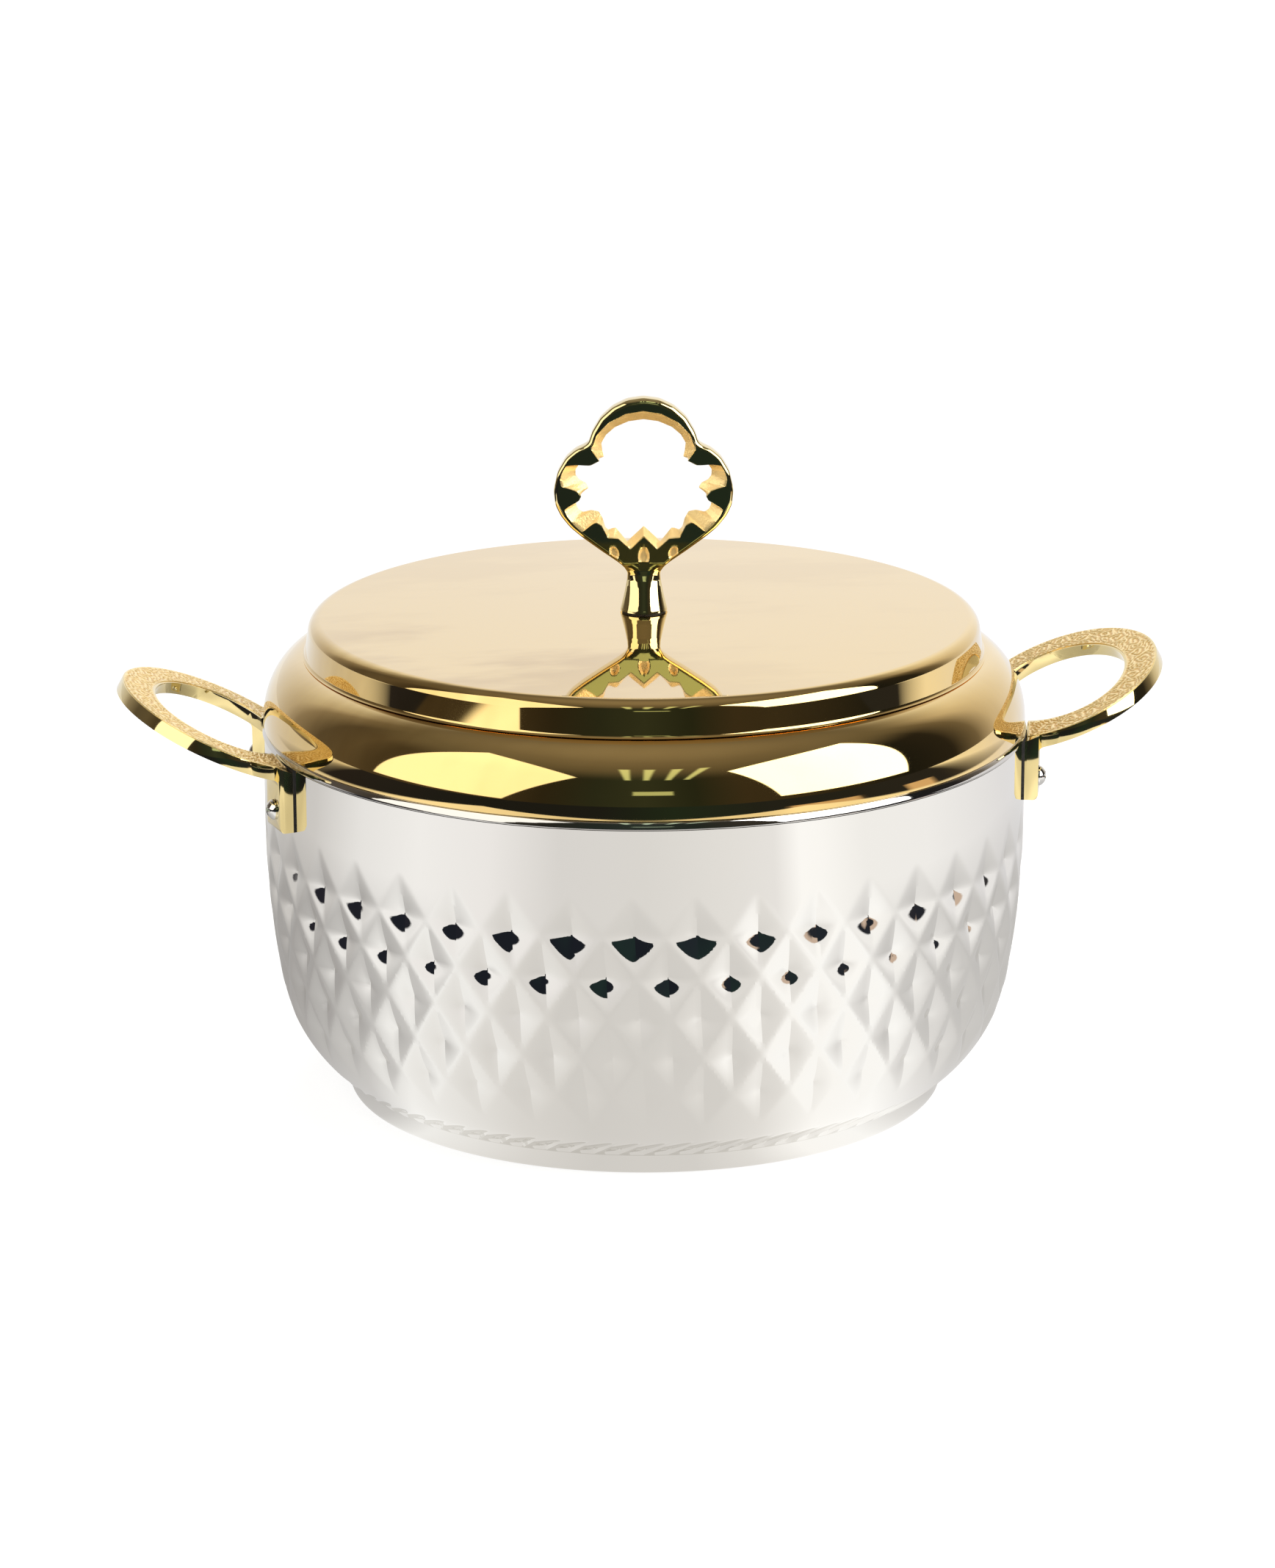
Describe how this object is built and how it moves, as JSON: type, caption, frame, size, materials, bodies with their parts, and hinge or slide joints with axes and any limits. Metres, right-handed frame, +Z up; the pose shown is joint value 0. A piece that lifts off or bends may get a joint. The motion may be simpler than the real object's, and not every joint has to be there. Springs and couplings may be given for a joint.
{
  "type": "insulated serving casserole",
  "caption": "Round insulated serving pot with embossed steel sides, a stepped gold-coloured lift-off lid with a ring knob, and cast loop handles.",
  "frame": {"origin": "centre of the base, on the surface the pot stands on", "axes": "+Z up; +X towards the right handle, so the handles lie along X"},
  "size_m": [0.3584, 0.2606, 0.2404],
  "materials": {
    "polished_steel": "mirror polished stainless steel",
    "satin_steel": "satin stainless steel",
    "zinc_plated_steel": "zinc plated steel",
    "gold_sheet": "mirror polished, vapour coated gold colour",
    "gold_casting": "polished casting, gold plated",
    "black_rubber": "matt moulded rubber",
    "clear_silicone": "moulded translucent silicone",
    "foam": "poured rigid foam"
  },
  "bodies": {
    "pot": {"outer_shell": "polished_steel", "base_cap": "polished_steel", "foam_plug": "black_rubber", "inner_bowl": "satin_steel", "insulation": "foam", "handle_left": "gold_casting", "handle_right": "gold_casting", "handle_gaskets_left": "black_rubber", "handle_gaskets_right": "black_rubber", "handle_screws_left": "polished_steel", "handle_screws_right": "polished_steel", "handle_strap_left": "zinc_plated_steel", "handle_strap_right": "zinc_plated_steel", "handle_nuts_left": "zinc_plated_steel", "handle_nuts_right": "zinc_plated_steel"},
    "lid": {"lid_cover": "gold_sheet", "lid_liner": "satin_steel", "lid_foam": "foam", "lid_seal": "clear_silicone", "knob": "gold_casting", "knob_gasket": "black_rubber", "knob_washer": "zinc_plated_steel", "knob_screw": "zinc_plated_steel"}
  },
  "joints": [
    {"name": "lid_lift", "type": "slide", "parent": "pot", "child": "lid", "axis": [0, 0, 1], "range_m": [0, 0.09]}
  ]
}
